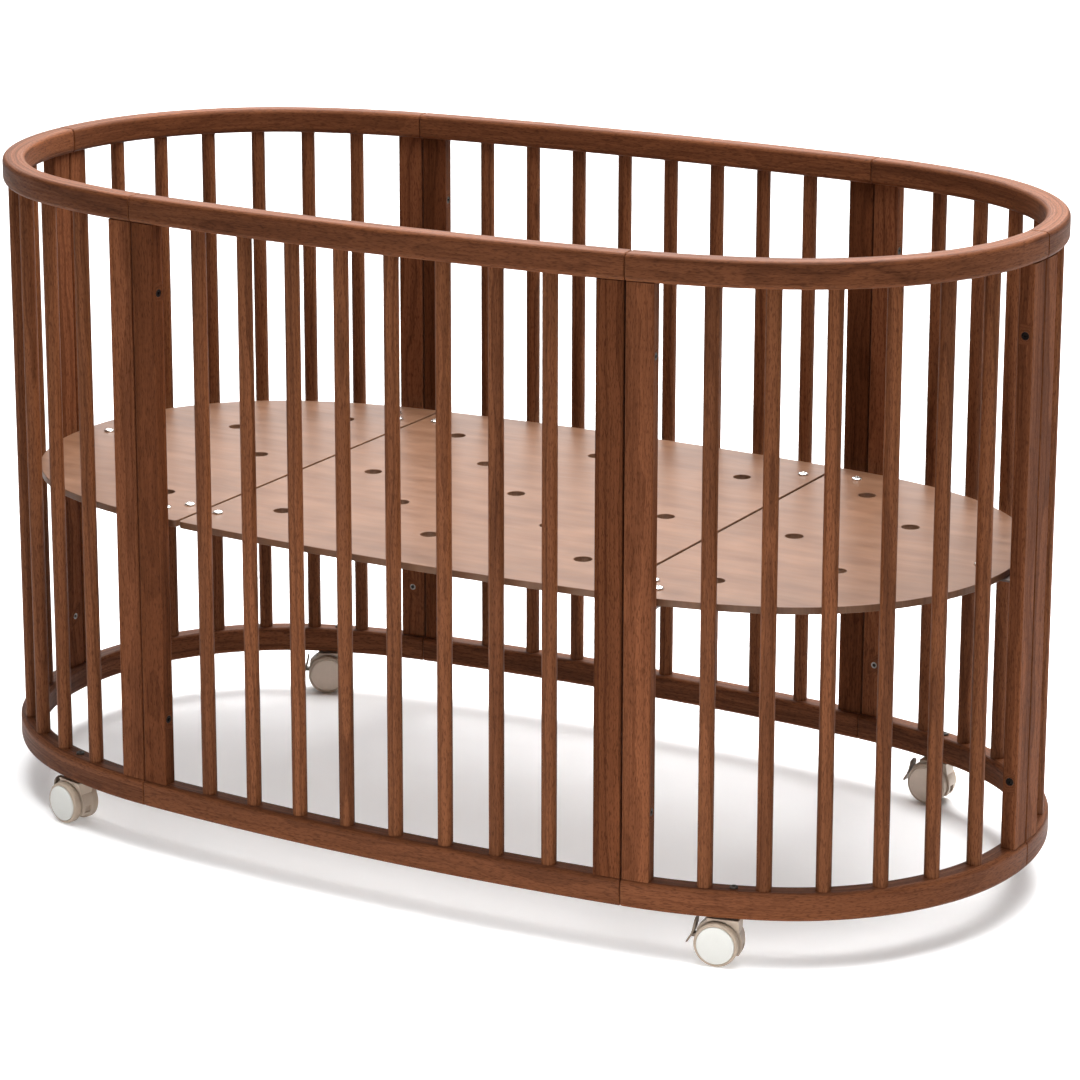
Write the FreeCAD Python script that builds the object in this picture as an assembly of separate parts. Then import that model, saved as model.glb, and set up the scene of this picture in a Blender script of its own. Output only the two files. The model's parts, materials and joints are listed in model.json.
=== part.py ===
import FreeCAD, Part
import math
import os

from FreeCAD import Placement, Rotation, Vector

# An oval baby crib on four twin-wheel casters with brakes. Six bolted panels of bent rails, posts
# and round spindles carry a mattress base of three perforated plywood boards.
# Millimetres. The origin is on the floor under the middle of the crib, +X runs along its length,
# +Z is up, and the front side is at -Y.

# Plan of the outer face of the rails. Each side is one shallow arc, and each quarter is a shoulder
# arc, a corner arc that closes the curve, and an end arc that crosses the long axis squarely.
HALF_LENGTH = 688.0
HALF_WIDTH = 358.0
SIDE_SEAM_X = 330.0
SIDE_SEAM_Y = 341.6
SHOULDER_RADIUS = 570.0
SHOULDER_TURN = 0.29
END_RADIUS = 360.0
SEAM_GAP = 0.5

# Rails
RAIL_THICKNESS = 28.5
RAIL_EDGE_RADIUS = 6.0
BOTTOM_RAIL_Z = 57.0
BOTTOM_RAIL_HEIGHT = 33.5
TOP_RAIL_Z = 784.9
TOP_RAIL_HEIGHT = 31.4

# Spindles and posts
SPINDLE_RADIUS = 9.0
SPINDLE_PITCH = 67.2
SIDE_SPINDLES = 8
QUARTER_SPINDLES = 6
SPINDLE_TENON_RADIUS = 6.0
TENON_LENGTH = 12.0
POST_WIDTH = 33.0
POST_DEPTH = 18.0
POST_SETBACK = 2.5
POST_TO_SEAM = 1.5
POST_EDGE_RADIUS = 2.5
POST_TENON_SHOULDER = 5.0

# Bolts and sleeve nuts that join the panels, two at each seam
CONNECTOR_HEIGHTS = (173.0, 702.0)
CONNECTOR_HEAD_RADIUS = 4.6
CONNECTOR_HEAD_LENGTH = 2.6
COUNTERBORE_RADIUS = 5.0
COUNTERBORE_DEPTH = 3.0
CONNECTOR_SHANK_RADIUS = 3.0
SLEEVE_RADIUS = 4.0
SLEEVE_START = 6.0
SLEEVE_BORE_END = 26.0
CONNECTOR_HOLE_CLEARANCE = 0.1

# Threaded inserts in the inner faces of the posts, for the two heights of the mattress base
INSERT_HEIGHTS = (159.5, 397.0)
INSERT_RADIUS = 4.0
INSERT_BORE_RADIUS = 2.5
INSERT_LENGTH = 10.0

# Mattress base
BASE_TOP_Z = 417.5
BOARD_THICKNESS = 8.5
BOARD_INSET = 35.0
BOARD_SEAM_X = 293.0
BOARD_SEAM_GAP = 4.0
BOARD_CORNER_RADIUS = 6.0
VENT_RADIUS = 11.0
VENT_STEP = 104.0
END_VENT_X = 380.0
BUTTON_RADIUS = 6.5
BUTTON_HEIGHT = 3.0
BUTTON_EDGE_RADIUS = 2.0
SOCKET_ACROSS_CORNERS = 4.6
SOCKET_DEPTH = 1.8
BOARD_BOLT_RADIUS = 3.0
BOARD_BOLT_REACH = 3.0
CORNER_BOARD_BOLTS = ((338.0, -269.0), (320.0, -243.0), (270.0, -256.0))
END_BOARD_BOLT_X = 617.0
BRACKET_THICKNESS = 2.5
BRACKET_TO_POST = 0.2
CORNER_PLATE = ((258.0, -230.0), (258.0, -292.0), (353.0, -292.0), (353.0, -230.0))
CORNER_PLATE_RADIUS = 10.0
END_PLATE_HALF_WIDTH = 16.0
END_PLATE_MARGIN = 14.0
FLANGE_WIDTH = 24.0
FLANGE_DROP = 16.0
BRACKET_NECK_REACH = 60.0

# Casters. Each piece is drawn with the stem axis at the origin, the wheels trailing along +X and
# the axle along Y, then turned to its heading about the stem.
CASTER_DISTANCE = 129.0
CASTER_HEADINGS = {"front_left": 166.0, "front_right": 192.0, "back_left": 210.0, "back_right": 177.0}
OUTER_WHEEL_SIDES = {"front_left": 1, "front_right": 1, "back_left": -1, "back_right": -1}
CASTER_TRAIL = 16.0
TYRE_RADIUS = 26.0
DISC_RADIUS = 22.2
DISC_FACE_Y = 20.8
TYRE_FACE_Y = 19.6
WHEEL_INNER_Y = 8.8
DISC_EDGE_RADIUS = 1.0
TYRE_EDGES = ((TYRE_FACE_Y, 2.5), (WHEEL_INNER_Y, 1.2))
AXLE_RADIUS = 3.0
AXLE_HALF_LENGTH = 18.0
AXLE_END_GAP = 0.3
RUNNING_CLEARANCE = 0.05
HOOD_HALF_WIDTH = 8.2
HOOD_RADIUS = 28.5
HOOD_TOP_Z = 55.5
HOOD_TOP_X = (-9.0, 28.0)
HOOD_SHOULDER_Z = 40.0
FENDER_HALF_WIDTH = 12.5
FENDER_CLEARANCE_RADIUS = 27.6
HOOD_UNDERCUT = ((-40.0, -10.0), (-40.0, 12.0), (6.0, 12.0), (26.0, 17.0), (40.0, 23.0), (60.0, 23.0),
                 (60.0, -10.0))
HOOD_POCKET = ((-20.0, -8.2), (-4.5, 4.5), (16.0, 25.0))
STEM_RADIUS = 4.0
STEM_FOOT_Z = 37.0
STEM_IN_RAIL = 15.0
STEM_FLANGE_RADIUS = 7.4
STEM_FLANGE_Z = (52.4, 55.2)
SADDLE_RADIUS = 8.4
SADDLE_Z = 52.0
SCREW_HEAD_RADIUS = 5.0
SCREW_HEAD_HEIGHT = 2.2
SCREW_RADIUS = 2.5
BRAKE_PIVOT_X = 36.0
BRAKE_PIVOT_Z = 30.0
BRAKE_PIN_RADIUS = 2.0
BRAKE_BOSS_RADIUS = 4.5
BRAKE_ARM_HALF_WIDTH = 4.2
BRAKE_SLOT_HALF_WIDTH = 4.7
BRAKE_SLOT_X = 29.0
BRAKE_SLOT_Z = (15.0, 44.0)
BRAKE_PEDAL_HALF_WIDTH = 7.5
BRAKE_PEDAL_CORNER_RADIUS = 6.5
BRAKE_PEDAL_THICKNESS = 2.6
BRAKE_PEDAL_FACE = ((41.0, 51.0), (42.0, 44.0), (43.4, 37.5), (46.0, 31.0), (53.0, 19.5))
HOOD_BACK_X = 40.8

ORIGIN = Vector(0, 0, 0)
UP = Vector(0, 0, 1)
ALONG_X = Vector(1, 0, 0)
ALONG_Y = Vector(0, 1, 0)

side_radius = ((HALF_WIDTH - SIDE_SEAM_Y) ** 2 + SIDE_SEAM_X ** 2) / (2 * (HALF_WIDTH - SIDE_SEAM_Y))
seam_heading = math.asin(SIDE_SEAM_X / side_radius)
end_heading = math.pi / 2
rail_middle = RAIL_THICKNESS / 2
post_middle = POST_TO_SEAM + POST_WIDTH / 2
post_inner_face = POST_SETBACK + POST_DEPTH
board_z = BASE_TOP_Z - BOARD_THICKNESS
bracket_z = board_z - BRACKET_THICKNESS
bottom_rail_top = BOTTOM_RAIL_Z + BOTTOM_RAIL_HEIGHT


# ---------------------------------------------------------------- plan curve

def outward(heading):
    """Unit vector out of the rail where the plan curve runs at this heading from +X, in radians."""
    return Vector(math.sin(heading), -math.cos(heading), 0)


def side_arcs():
    """The front side as (centre, radius, start heading, end heading)."""
    centre = Vector(0, side_radius - HALF_WIDTH, 0)
    return [(centre, side_radius, -seam_heading, seam_heading)]


def quarter_arcs():
    """The front right quarter's shoulder, corner and end arc, each tangent to the next."""
    shoulder_heading = seam_heading + SHOULDER_TURN
    seam = Vector(SIDE_SEAM_X, -SIDE_SEAM_Y, 0)
    shoulder_centre = seam - outward(seam_heading) * SHOULDER_RADIUS
    shoulder_end = shoulder_centre + outward(shoulder_heading) * SHOULDER_RADIUS
    end_centre = Vector(HALF_LENGTH - END_RADIUS, 0, 0)
    across = shoulder_end - end_centre
    reach = END_RADIUS - across.dot(outward(shoulder_heading))
    corner_radius = (END_RADIUS ** 2 - across.dot(across)) / (2 * reach)
    corner_centre = shoulder_end - outward(shoulder_heading) * corner_radius
    toward_corner = corner_centre - end_centre
    corner_heading = math.atan2(toward_corner.x, -toward_corner.y)
    return [
        (shoulder_centre, SHOULDER_RADIUS, seam_heading, shoulder_heading),
        (corner_centre, corner_radius, shoulder_heading, corner_heading),
        (end_centre, END_RADIUS, corner_heading, end_heading),
    ]


def inset_length(arcs, inset):
    """Length of the plan curve moved inward by inset."""
    return sum((radius - inset) * (end - start) for _, radius, start, end in arcs)


def point_along(arcs, inset, distance):
    """Point on the inset plan curve at this distance from its start."""
    for centre, radius, start, end in arcs:
        length = (radius - inset) * (end - start)
        if distance <= length:
            return centre + outward(start + distance / (radius - inset)) * (radius - inset)
        distance -= length
    raise ValueError("distance is past the end of the curve")


def at_seam(shape, heading, seam):
    """Moves a shape from a seam's own frame: X along the rail, Y inward, Z up, from the outer face."""
    placed = shape.copy()
    placed.Placement = Placement(seam, Rotation(UP, math.degrees(heading))).multiply(placed.Placement)
    return placed


def at_side_seam(shape):
    return at_seam(shape, seam_heading, Vector(SIDE_SEAM_X, -SIDE_SEAM_Y, 0))


def at_end_seam(shape):
    return at_seam(shape, end_heading, Vector(HALF_LENGTH, 0, 0))


# ---------------------------------------------------------------- small helpers

def cylinder(radius, length, base, axis):
    return Part.makeCylinder(radius, length, base, axis)


def box(x_range, y_range, z_range):
    corner = Vector(x_range[0], y_range[0], z_range[0])
    return Part.makeBox(x_range[1] - x_range[0], y_range[1] - y_range[0], z_range[1] - z_range[0], corner)


def prism(points, plane, low, high):
    """A polygon's points in the XY or XZ plane, drawn out from low to high across that plane."""
    if plane == "xy":
        outline = [Vector(u, v, low) for u, v in points]
        direction = UP * (high - low)
    else:
        outline = [Vector(u, low, v) for u, v in points]
        direction = ALONG_Y * (high - low)
    return Part.Face(Part.makePolygon(outline + outline[:1])).extrude(direction)


def turned(radius, angle):
    """Point at this radius and angle from the origin, in the XZ plane."""
    return Vector(radius * math.cos(angle), 0, radius * math.sin(angle))


def upright_edges(shape):
    return [edge for edge in shape.Edges if len(edge.Vertexes) == 2
            and abs(abs(edge.tangentAt(edge.FirstParameter).z) - 1) < 1e-6]


def circles_at(shape, centre, radius):
    """The shape's edges that are whole circles of this radius about this centre."""
    return [edge for edge in shape.Edges if len(edge.Vertexes) == 1
            and (edge.CenterOfMass - centre).Length < 1e-6 and abs(edge.Curve.Radius - radius) < 1e-6]


def flip_x(shape):
    return shape.mirror(ORIGIN, ALONG_X)


def flip_y(shape):
    return shape.mirror(ORIGIN, ALONG_Y)


def half_turn(shape):
    return flip_y(flip_x(shape))


def four_corners(shape):
    return [flip_x(shape), shape, half_turn(shape), flip_y(shape)]


def save(name, solids):
    """Writes one node: a single solid, or a group of separate ones."""
    shape = solids[0] if len(solids) == 1 else Part.makeCompound(solids)
    for solid in shape.Solids:
        if not solid.isValid() or solid.Volume <= 0:
            raise ValueError(name + " has a broken solid")
    shape.exportStep("parts/" + name + ".step")


# ---------------------------------------------------------------- rails

def rail_section(inner, outer, low, high):
    """Rounded rectangle in the XZ plane, inner to outer along X and low to high along Z."""
    radius = RAIL_EDGE_RADIUS
    corners = [
        (outer - radius, low + radius, -90),
        (outer - radius, high - radius, 0),
        (inner + radius, high - radius, 90),
        (inner + radius, low + radius, 180),
    ]
    edges = []
    previous = None
    for x, z, start in corners:
        angles = [math.radians(start + turn) for turn in (0, 45, 90)]
        first, middle, last = [Vector(x, 0, z) + turned(radius, angle) for angle in angles]
        if previous:
            edges.append(Part.makeLine(previous, first))
        edges.append(Part.Arc(first, middle, last).toShape())
        previous = last
    edges.append(Part.makeLine(previous, edges[0].Vertexes[0].Point))
    return Part.Face(Part.Wire(Part.__sortEdges__(edges)))


def rail(arcs, low, height):
    """A bent rail along the arcs, stopping short of each seam by half the gap."""
    lengths = []
    for index, (centre, radius, start, end) in enumerate(arcs):
        trim = SEAM_GAP / 2 / radius
        first = start + trim if index == 0 else start
        last = end - trim if index == len(arcs) - 1 else end
        section = rail_section(radius - RAIL_THICKNESS, radius, low, low + height)
        section.rotate(ORIGIN, UP, math.degrees(first) - 90)
        section.translate(centre)
        lengths.append(section.revolve(centre, UP, math.degrees(last - first)))
    joined = lengths[0].multiFuse(lengths[1:]) if len(lengths) > 1 else lengths[0]
    return joined.Solids[0]


# ---------------------------------------------------------------- spindles and posts

def spindle(foot):
    """A round spindle between the rails, with a thinner tenon at each end."""
    length = TOP_RAIL_Z - bottom_rail_top
    base = Vector(foot.x, foot.y, bottom_rail_top)
    tenon_base = base - UP * TENON_LENGTH
    tenon = cylinder(SPINDLE_TENON_RADIUS, length + 2 * TENON_LENGTH, tenon_base, UP)
    return cylinder(SPINDLE_RADIUS, length, base, UP).fuse(tenon).Solids[0]


def spindle_row(arcs, count):
    """Spindles at an even pitch along the middle of the rails, centred between the panel's ends."""
    start = (inset_length(arcs, rail_middle) - (count - 1) * SPINDLE_PITCH) / 2
    distances = [start + index * SPINDLE_PITCH for index in range(count)]
    return [spindle(point_along(arcs, rail_middle, distance)) for distance in distances]


def connector_cut(side, fastener_radius):
    """Clearance for the bolts or sleeve nuts through the post on one side of a seam, -1 or +1."""
    far = post_middle + POST_WIDTH / 2
    radius = fastener_radius + CONNECTOR_HOLE_CLEARANCE
    depth = POST_SETBACK + POST_DEPTH / 2
    cuts = []
    for height in CONNECTOR_HEIGHTS:
        cuts.append(cylinder(radius, far, Vector(0, depth, height), ALONG_X * side))
        mouth = Vector(side * (far - COUNTERBORE_DEPTH), depth, height)
        cuts.append(cylinder(COUNTERBORE_RADIUS, COUNTERBORE_DEPTH, mouth, ALONG_X * side))
    return cuts


def insert_axis_point(side, height):
    return Vector(side * post_middle, post_inner_face, height)


def post(side, fastener_radius, with_inserts):
    """A post in a seam's frame, on its -X or +X side, with its tenons, fastener and insert holes."""
    near, far = sorted((side * POST_TO_SEAM, side * (POST_TO_SEAM + POST_WIDTH)))
    body = box((near, far), (POST_SETBACK, post_inner_face), (bottom_rail_top, TOP_RAIL_Z))
    body = body.makeFillet(POST_EDGE_RADIUS, upright_edges(body))
    tenon = box((near + POST_TENON_SHOULDER, far - POST_TENON_SHOULDER),
                (POST_SETBACK + POST_TENON_SHOULDER, post_inner_face - POST_TENON_SHOULDER),
                (bottom_rail_top - TENON_LENGTH, TOP_RAIL_Z + TENON_LENGTH))
    cuts = connector_cut(side, fastener_radius)
    if with_inserts:
        cuts += [cylinder(INSERT_RADIUS, INSERT_LENGTH, insert_axis_point(side, height), -ALONG_Y)
                 for height in INSERT_HEIGHTS]
    return body.fuse(tenon).cut(cuts).Solids[0]


def connector_bolt(height):
    """A panel bolt in a seam's frame, its head in the -X post."""
    depth = POST_SETBACK + POST_DEPTH / 2
    head_start = -(POST_TO_SEAM + POST_WIDTH - COUNTERBORE_DEPTH) - CONNECTOR_HEAD_LENGTH
    head = cylinder(CONNECTOR_HEAD_RADIUS, CONNECTOR_HEAD_LENGTH, Vector(head_start, depth, height), ALONG_X)
    shank_length = SLEEVE_BORE_END - head_start - 1
    shank = cylinder(CONNECTOR_SHANK_RADIUS, shank_length, Vector(head_start, depth, height), ALONG_X)
    return head.fuse(shank).cut(hex_socket(Vector(head_start, depth, height), ALONG_X)).Solids[0]


def sleeve_nut(height):
    """The sleeve nut that the panel bolt screws into, its head in the +X post."""
    depth = POST_SETBACK + POST_DEPTH / 2
    head_end = POST_TO_SEAM + POST_WIDTH - COUNTERBORE_DEPTH + CONNECTOR_HEAD_LENGTH
    head = cylinder(CONNECTOR_HEAD_RADIUS, CONNECTOR_HEAD_LENGTH, Vector(head_end, depth, height), -ALONG_X)
    start = Vector(SLEEVE_START, depth, height)
    sleeve = cylinder(SLEEVE_RADIUS, head_end - SLEEVE_START, start, ALONG_X)
    bore = cylinder(CONNECTOR_SHANK_RADIUS, SLEEVE_BORE_END - SLEEVE_START, start, ALONG_X)
    return head.fuse(sleeve).cut([bore, hex_socket(Vector(head_end, depth, height), -ALONG_X)]).Solids[0]


def hex_socket(mouth, inward):
    """The space of a hexagonal key socket, SOCKET_DEPTH deep from its mouth."""
    angles = [k * math.pi / 3 for k in range(7)]
    corners = [Vector(math.cos(angle), math.sin(angle), 0) * (SOCKET_ACROSS_CORNERS / 2) for angle in angles]
    socket = Part.Face(Part.makePolygon(corners)).extrude(UP * SOCKET_DEPTH)
    socket.Placement = Placement(mouth, Rotation(UP, inward))
    return socket


def threaded_insert(side, height):
    """A threaded insert sunk flush in a post's inner face, in the seam's frame."""
    point = insert_axis_point(side, height)
    outer = cylinder(INSERT_RADIUS, INSERT_LENGTH, point, -ALONG_Y)
    return outer.cut(cylinder(INSERT_BORE_RADIUS, INSERT_LENGTH, point, -ALONG_Y)).Solids[0]


# ---------------------------------------------------------------- mattress base

def button_bolt(seat, axis, reach):
    """A button-head bolt: its head stands on the seat against the axis, its shank runs along it."""
    head = cylinder(BUTTON_RADIUS, BUTTON_HEIGHT, seat, -axis)
    crown = seat - axis * BUTTON_HEIGHT
    head = head.makeFillet(BUTTON_EDGE_RADIUS, circles_at(head, crown, BUTTON_RADIUS))
    shank = cylinder(BOARD_BOLT_RADIUS, reach, seat, axis)
    return head.fuse(shank).cut(hex_socket(crown, axis)).Solids[0]


def board_outline():
    """The whole base as one slab, before the seams are cut."""
    curves = []
    for centre, radius, start, end in side_arcs() + quarter_arcs():
        headings = (start, (start + end) / 2, end)
        points = [centre + outward(heading) * (radius - BOARD_INSET) for heading in headings]
        curves.append(Part.Arc(*points).toShape())
    side, quarter = curves[0], curves[1:]
    wires = [side, flip_y(side)]
    for curve in quarter:
        wires += four_corners(curve)
    # Moving the side arcs and the quarter arcs inward keeps their ends together, as they are tangent.
    outline = Part.Wire(Part.__sortEdges__(wires))
    slab = Part.Face(outline).extrude(UP * BOARD_THICKNESS)
    slab.translate(UP * board_z)
    return slab


def vent_positions():
    """Vent holes in rows that step along and across the base."""
    middle = [(x * VENT_STEP, y * VENT_STEP) for x in (-2, 0, 2) for y in (-2, 0, 2)]
    middle += [(x * VENT_STEP, y * VENT_STEP) for x in (-1, 1) for y in (-1, 1)]
    ends = [(END_VENT_X, y * VENT_STEP) for y in (-2, 0, 2)]
    ends += [(END_VENT_X + VENT_STEP, y * VENT_STEP) for y in (-1, 1)]
    return middle + ends + [(-x, y) for x, y in ends]


def board_bolt_positions():
    front_right = list(CORNER_BOARD_BOLTS)
    right = front_right + [(x, -y) for x, y in front_right] + [(END_BOARD_BOLT_X, 0.0)]
    return right + [(-x, y) for x, y in right]


def boards():
    """The left, middle and right boards with their vents and bolt holes."""
    holes = [cylinder(VENT_RADIUS, BOARD_THICKNESS, Vector(x, y, board_z), UP) for x, y in vent_positions()]
    holes += [cylinder(BOARD_BOLT_RADIUS, BOARD_THICKNESS, Vector(x, y, board_z), UP)
              for x, y in board_bolt_positions()]
    slab = board_outline()
    seam = BOARD_SEAM_X
    gap = BOARD_SEAM_GAP / 2
    spans = ((-HALF_LENGTH, -seam - gap), (-seam + gap, seam - gap), (seam + gap, HALF_LENGTH))
    cut_boards = []
    for span in spans:
        window = box(span, (-HALF_WIDTH, HALF_WIDTH), (board_z, BASE_TOP_Z))
        board = slab.common(window)
        corners = [edge for edge in upright_edges(board)
                   if abs(abs(edge.CenterOfMass.x) - seam) < BOARD_SEAM_GAP]
        cut_boards.append(board.makeFillet(BOARD_CORNER_RADIUS, corners).cut(holes).Solids[0])
    return cut_boards


def flange(side):
    """The upright tab of a bracket against a post's inner face, in the seam's frame."""
    face = post_inner_face + BRACKET_TO_POST
    middle = side * post_middle
    height = INSERT_HEIGHTS[1]
    tab = box((middle - FLANGE_WIDTH / 2, middle + FLANGE_WIDTH / 2), (face, face + BRACKET_THICKNESS),
              (height - FLANGE_DROP, board_z))
    return tab.cut(cylinder(BOARD_BOLT_RADIUS, BRACKET_THICKNESS, Vector(middle, face, height), ALONG_Y))


def corner_bracket():
    """The front right bracket: a plate under two boards and a tab on the quarter panel's post."""
    plate = prism(CORNER_PLATE, "xy", bracket_z, board_z)
    plate = plate.makeFillet(CORNER_PLATE_RADIUS, upright_edges(plate))
    face = post_inner_face + BRACKET_TO_POST
    neck = box((post_middle - FLANGE_WIDTH / 2, post_middle + FLANGE_WIDTH / 2), (face, BRACKET_NECK_REACH),
               (bracket_z, board_z))
    holes = [cylinder(BOARD_BOLT_RADIUS, BRACKET_THICKNESS, Vector(x, y, bracket_z), UP)
             for x, y in CORNER_BOARD_BOLTS]
    return plate.multiFuse([at_side_seam(neck), at_side_seam(flange(1))]).cut(holes).Solids[0]


def end_bracket():
    """The right end's bracket: a plate under the end board and a tab on the back post."""
    face = post_inner_face + BRACKET_TO_POST
    bolt_reach = HALF_LENGTH - END_BOARD_BOLT_X
    plate = box((-END_PLATE_HALF_WIDTH, post_middle + FLANGE_WIDTH / 2),
                (face, bolt_reach + END_PLATE_MARGIN), (bracket_z, board_z))
    hole = cylinder(BOARD_BOLT_RADIUS, BRACKET_THICKNESS, Vector(0, bolt_reach, bracket_z), UP)
    return at_end_seam(plate.fuse(flange(1)).cut(hole).Solids[0])


def bracket_bolt():
    """Holds a bracket's tab to a post. It stops at the post's face, so the base can change height."""
    seat = Vector(post_middle, post_inner_face + BRACKET_TO_POST + BRACKET_THICKNESS, INSERT_HEIGHTS[1])
    return button_bolt(seat, -ALONG_Y, BRACKET_THICKNESS)


# ---------------------------------------------------------------- casters

def caster_foot():
    """Where the front right caster's stem axis meets the floor."""
    return point_along(quarter_arcs(), rail_middle, CASTER_DISTANCE)


def caster_points():
    foot = caster_foot()
    return {
        "front_left": Vector(-foot.x, foot.y, 0),
        "front_right": foot,
        "back_left": Vector(-foot.x, -foot.y, 0),
        "back_right": Vector(foot.x, -foot.y, 0),
    }


def at_caster(shape, place):
    placed = shape.copy()
    placed.rotate(ORIGIN, UP, CASTER_HEADINGS[place])
    placed.translate(caster_points()[place])
    return placed


def across_axle(radius, half_width):
    """A cylinder about the axle, half_width each way."""
    base = Vector(CASTER_TRAIL, -half_width, TYRE_RADIUS)
    return cylinder(radius, 2 * half_width, base, ALONG_Y)


def fender():
    """The part of the hood that flares out over the wheels beside the stem."""
    x_low, x_high = HOOD_TOP_X
    profile = [(-HOOD_HALF_WIDTH, HOOD_SHOULDER_Z), (-FENDER_HALF_WIDTH, HOOD_TOP_Z),
               (FENDER_HALF_WIDTH, HOOD_TOP_Z), (HOOD_HALF_WIDTH, HOOD_SHOULDER_Z)]
    outline = [Vector(x_low, y, z) for y, z in profile]
    block = Part.Face(Part.makePolygon(outline + outline[:1])).extrude(ALONG_X * (x_high - x_low))
    return block.cut(across_axle(FENDER_CLEARANCE_RADIUS, TYRE_RADIUS))


def caster_hood():
    """The body between the wheels, with the stem socket on top and the brake's pin behind."""
    length = (-HOOD_RADIUS, 3 * HOOD_RADIUS)
    above = box(length, (-TYRE_RADIUS, TYRE_RADIUS), (HOOD_TOP_Z, 2 * HOOD_TOP_Z))
    behind = box((HOOD_BACK_X, length[1]), (-TYRE_RADIUS, TYRE_RADIUS), (0, HOOD_TOP_Z))
    web = across_axle(HOOD_RADIUS, HOOD_HALF_WIDTH).cut([above, behind])
    crown = box(HOOD_TOP_X, (-HOOD_HALF_WIDTH, HOOD_HALF_WIDTH), (HOOD_SHOULDER_Z, HOOD_TOP_Z))
    body = web.multiFuse([crown, fender()])
    slot = box((BRAKE_SLOT_X, length[1]), (-BRAKE_SLOT_HALF_WIDTH, BRAKE_SLOT_HALF_WIDTH), BRAKE_SLOT_Z)
    body = body.cut([
        prism(HOOD_UNDERCUT, "xz", -TYRE_RADIUS, TYRE_RADIUS),
        box(*HOOD_POCKET),
        slot,
        cylinder(SADDLE_RADIUS, HOOD_TOP_Z, Vector(0, 0, SADDLE_Z), UP),
        cylinder(STEM_RADIUS + RUNNING_CLEARANCE, HOOD_TOP_Z, Vector(0, 0, STEM_FOOT_Z - 1), UP),
        across_axle(AXLE_RADIUS, TYRE_RADIUS),
    ])
    pin_end = Vector(BRAKE_PIVOT_X, -HOOD_HALF_WIDTH, BRAKE_PIVOT_Z)
    pin = cylinder(BRAKE_PIN_RADIUS, 2 * HOOD_HALF_WIDTH, pin_end, ALONG_Y)
    return body.fuse(pin).Solids[0]


def wheel_point(y):
    """Point on the wheels' axis."""
    return Vector(CASTER_TRAIL, y, TYRE_RADIUS)


def caster_wheel():
    """The left wheel disc with its closed outer face, bored for the axle."""
    disc = cylinder(DISC_RADIUS, DISC_FACE_Y - WHEEL_INNER_Y, wheel_point(WHEEL_INNER_Y), ALONG_Y)
    disc = disc.makeFillet(DISC_EDGE_RADIUS, circles_at(disc, wheel_point(DISC_FACE_Y), DISC_RADIUS))
    bore = across_axle(AXLE_RADIUS + RUNNING_CLEARANCE, AXLE_HALF_LENGTH + AXLE_END_GAP)
    return disc.cut(bore).Solids[0]


def caster_tyre():
    """The left wheel's tyre, a ring with a rounded tread."""
    ring = cylinder(TYRE_RADIUS, TYRE_FACE_Y - WHEEL_INNER_Y, wheel_point(WHEEL_INNER_Y), ALONG_Y)
    for y, edge_radius in TYRE_EDGES:
        ring = ring.makeFillet(edge_radius, circles_at(ring, wheel_point(y), TYRE_RADIUS))
    return ring.cut(across_axle(DISC_RADIUS, TYRE_RADIUS)).Solids[0]


def caster_brake():
    """The brake lever: a boss on the hood's pin, an arm, and a round-cornered pedal that flares out."""
    pedal_outline = list(BRAKE_PEDAL_FACE)
    pedal_outline += [(x + BRAKE_PEDAL_THICKNESS, z) for x, z in reversed(BRAKE_PEDAL_FACE)]
    pedal = prism(pedal_outline, "xz", -BRAKE_PEDAL_HALF_WIDTH, BRAKE_PEDAL_HALF_WIDTH)
    top, bottom = BRAKE_PEDAL_FACE[0][1], BRAKE_PEDAL_FACE[-1][1]
    tongue = box((BRAKE_PIVOT_X, 2 * BRAKE_PIVOT_X), (-BRAKE_PEDAL_HALF_WIDTH, BRAKE_PEDAL_HALF_WIDTH),
                 (bottom, top))
    corners = [edge for edge in tongue.Edges if abs(edge.tangentAt(0).x) > 0.5]
    pedal = pedal.common(tongue.makeFillet(BRAKE_PEDAL_CORNER_RADIUS, corners))
    pivot = Vector(BRAKE_PIVOT_X, -BRAKE_ARM_HALF_WIDTH, BRAKE_PIVOT_Z)
    boss = cylinder(BRAKE_BOSS_RADIUS, 2 * BRAKE_ARM_HALF_WIDTH, pivot, ALONG_Y)
    arm = box((BRAKE_PIVOT_X, BRAKE_PEDAL_FACE[-2][0] + BRAKE_PEDAL_THICKNESS / 2),
              (-BRAKE_ARM_HALF_WIDTH, BRAKE_ARM_HALF_WIDTH),
              (BRAKE_PIVOT_Z - BRAKE_PIN_RADIUS, BRAKE_PIVOT_Z + BRAKE_PIN_RADIUS))
    bore = cylinder(BRAKE_PIN_RADIUS + RUNNING_CLEARANCE, 2 * BRAKE_ARM_HALF_WIDTH, pivot, ALONG_Y)
    return pedal.multiFuse([boss, arm]).cut(bore).Solids[0]


def caster_stem():
    """The steel stem: a shaft from the hood up into the rail, with a flange on the hood's top."""
    shaft_length = BOTTOM_RAIL_Z + STEM_IN_RAIL - STEM_FOOT_Z
    shaft = cylinder(STEM_RADIUS, shaft_length, Vector(0, 0, STEM_FOOT_Z), UP)
    low, high = STEM_FLANGE_Z
    return shaft.fuse(cylinder(STEM_FLANGE_RADIUS, high - low, Vector(0, 0, low), UP)).Solids[0]


def caster_screw():
    """The screw that clamps the stem from the top of the bottom rail."""
    seat = Vector(0, 0, bottom_rail_top)
    head = cylinder(SCREW_HEAD_RADIUS, SCREW_HEAD_HEIGHT, seat, UP)
    shank_length = BOTTOM_RAIL_HEIGHT - STEM_IN_RAIL
    shank = cylinder(SCREW_RADIUS, shank_length, seat, -UP)
    return head.fuse(shank).cut(hex_socket(seat + UP * SCREW_HEAD_HEIGHT, -UP)).Solids[0]


# ---------------------------------------------------------------- assembly

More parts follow.
